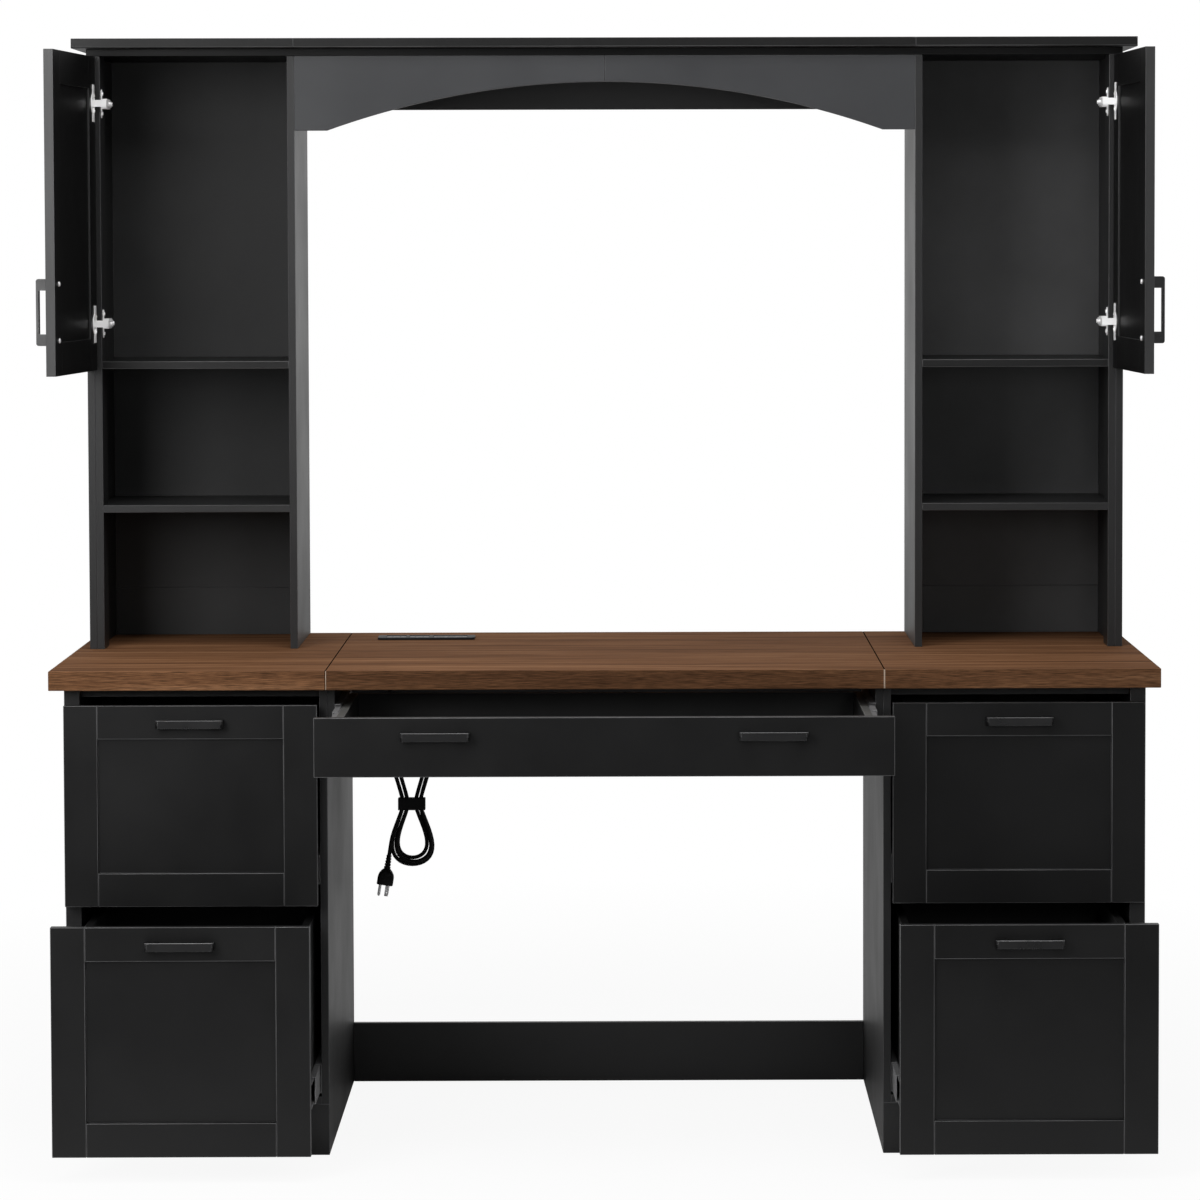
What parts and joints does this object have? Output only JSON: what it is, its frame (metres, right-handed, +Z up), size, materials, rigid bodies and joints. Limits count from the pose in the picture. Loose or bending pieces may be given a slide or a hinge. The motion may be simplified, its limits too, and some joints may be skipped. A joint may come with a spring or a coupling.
{
  "type": "executive desk with hutch",
  "caption": "Executive desk with drawer pedestals, a pull-out centre drawer and a power strip, under a hutch of shelf towers with framed doors and an arched valance.",
  "frame": {"origin": "on the floor at the middle of the underside of the stretcher between the pedestals", "axes": "+X to the sitter's right, +Y from the sitter to the wall, +Z up"},
  "size_m": [1.7529, 0.871, 1.751],
  "materials": {
    "black_melamine": "semi-gloss black melamine",
    "walnut_top": "satin walnut with a long grain",
    "drawer_board": "black board with raw upper edges",
    "black_metal": "semi-gloss black",
    "bright_steel": "bright zinc",
    "black_plastic": "moulded, fine texture",
    "cord_sheath": "matte black sheath"
  },
  "bodies": {
    "root": {"desktop_left": "walnut_top", "desktop_centre": "walnut_top", "desktop_right": "walnut_top", "pedestal_outer_sides": "black_melamine", "pedestal_inner_sides": "black_melamine", "pedestal_backs": "black_melamine", "pedestal_bottoms": "black_melamine", "toe_panels": "black_melamine", "pedestal_top_rails": "black_melamine", "kneehole_rails": "black_melamine", "centre_drawer_spacers": "black_melamine", "tower_outer_sides": "black_melamine", "tower_inner_sides": "black_melamine", "tower_stiles": "black_melamine", "tower_backs": "black_melamine", "tower_shelves": "black_melamine", "hutch_top_left": "black_melamine", "hutch_top_centre": "black_melamine", "hutch_top_right": "black_melamine", "hutch_top_support": "black_melamine", "valance": "black_melamine", "rear_top_rail": "black_melamine", "hinge_arms": "bright_steel", "drawer_runners": "bright_steel", "power_strip": "black_plastic", "cord_drop": "cord_sheath", "cord_hank": "cord_sheath", "cord_tie": "black_plastic", "plug": "black_plastic"},
    "left_door": {"left_door": "black_melamine", "left_door_pull": "black_metal", "left_hinge_cups": "bright_steel"},
    "right_door": {"right_door": "black_melamine", "right_door_pull": "black_metal", "right_hinge_cups": "bright_steel"},
    "left_upper_drawer": {"left_upper_drawer_front": "black_melamine", "left_upper_drawer_box": "drawer_board", "left_upper_drawer_pull": "black_metal", "left_upper_drawer_slides": "bright_steel"},
    "left_upper_slide_middles": {"left_upper_slide_middles": "bright_steel"},
    "left_lower_drawer": {"left_lower_drawer_front": "black_melamine", "left_lower_drawer_box": "drawer_board", "left_lower_drawer_pull": "black_metal", "left_lower_drawer_slides": "bright_steel"},
    "left_lower_slide_middles": {"left_lower_slide_middles": "bright_steel"},
    "right_upper_drawer": {"right_upper_drawer_front": "black_melamine", "right_upper_drawer_box": "drawer_board", "right_upper_drawer_pull": "black_metal", "right_upper_drawer_slides": "bright_steel"},
    "right_upper_slide_middles": {"right_upper_slide_middles": "bright_steel"},
    "right_lower_drawer": {"right_lower_drawer_front": "black_melamine", "right_lower_drawer_box": "drawer_board", "right_lower_drawer_pull": "black_metal", "right_lower_drawer_slides": "bright_steel"},
    "right_lower_slide_middles": {"right_lower_slide_middles": "bright_steel"},
    "centre_drawer": {"centre_drawer_front": "black_melamine", "centre_drawer_box": "drawer_board", "centre_drawer_pulls": "black_metal", "centre_drawer_slides": "bright_steel"},
    "centre_slide_middles": {"centre_slide_middles": "bright_steel"}
  },
  "joints": [
    {"name": "left_door_swing", "type": "hinge", "parent": "root", "child": "left_door", "pos_m": [-0.831, -0.2885, 1.469], "axis": [0, 0, -1], "range_deg": [-94.4, 8.6]},
    {"name": "right_door_swing", "type": "hinge", "parent": "root", "child": "right_door", "pos_m": [0.831, -0.2885, 1.469], "axis": [0, 0, 1], "range_deg": [-92.4, 10.6]},
    {"name": "left_upper_drawer_slide", "type": "slide", "parent": "root", "child": "left_upper_drawer", "axis": [0, -1, 0], "range_m": [-0.012, 0.445]},
    {"name": "left_upper_middle_slide", "type": "slide", "parent": "root", "child": "left_upper_slide_middles", "axis": [0, -1, 0], "range_m": [-0.006, 0.2225]},
    {"name": "left_lower_drawer_slide", "type": "slide", "parent": "root", "child": "left_lower_drawer", "axis": [0, -1, 0], "range_m": [-0.195, 0.262]},
    {"name": "left_lower_middle_slide", "type": "slide", "parent": "root", "child": "left_lower_slide_middles", "axis": [0, -1, 0], "range_m": [-0.0975, 0.131]},
    {"name": "right_upper_drawer_slide", "type": "slide", "parent": "root", "child": "right_upper_drawer", "axis": [0, -1, 0], "range_m": [0, 0.457]},
    {"name": "right_upper_middle_slide", "type": "slide", "parent": "root", "child": "right_upper_slide_middles", "axis": [0, -1, 0], "range_m": [0, 0.2285]},
    {"name": "right_lower_drawer_slide", "type": "slide", "parent": "root", "child": "right_lower_drawer", "axis": [0, -1, 0], "range_m": [-0.195, 0.262]},
    {"name": "right_lower_middle_slide", "type": "slide", "parent": "root", "child": "right_lower_slide_middles", "axis": [0, -1, 0], "range_m": [-0.0975, 0.131]},
    {"name": "centre_drawer_slide", "type": "slide", "parent": "root", "child": "centre_drawer", "axis": [0, -1, 0], "range_m": [-0.2, 0.2]},
    {"name": "centre_middle_slide", "type": "slide", "parent": "root", "child": "centre_slide_middles", "axis": [0, -1, 0], "range_m": [-0.1, 0.1]}
  ],
  "couplings": [
    {"joint": "left_upper_middle_slide", "follows": "left_upper_drawer_slide", "ratio": 0.5},
    {"joint": "left_lower_middle_slide", "follows": "left_lower_drawer_slide", "ratio": 0.5},
    {"joint": "right_upper_middle_slide", "follows": "right_upper_drawer_slide", "ratio": 0.5},
    {"joint": "right_lower_middle_slide", "follows": "right_lower_drawer_slide", "ratio": 0.5},
    {"joint": "centre_middle_slide", "follows": "centre_drawer_slide", "ratio": 0.5}
  ]
}
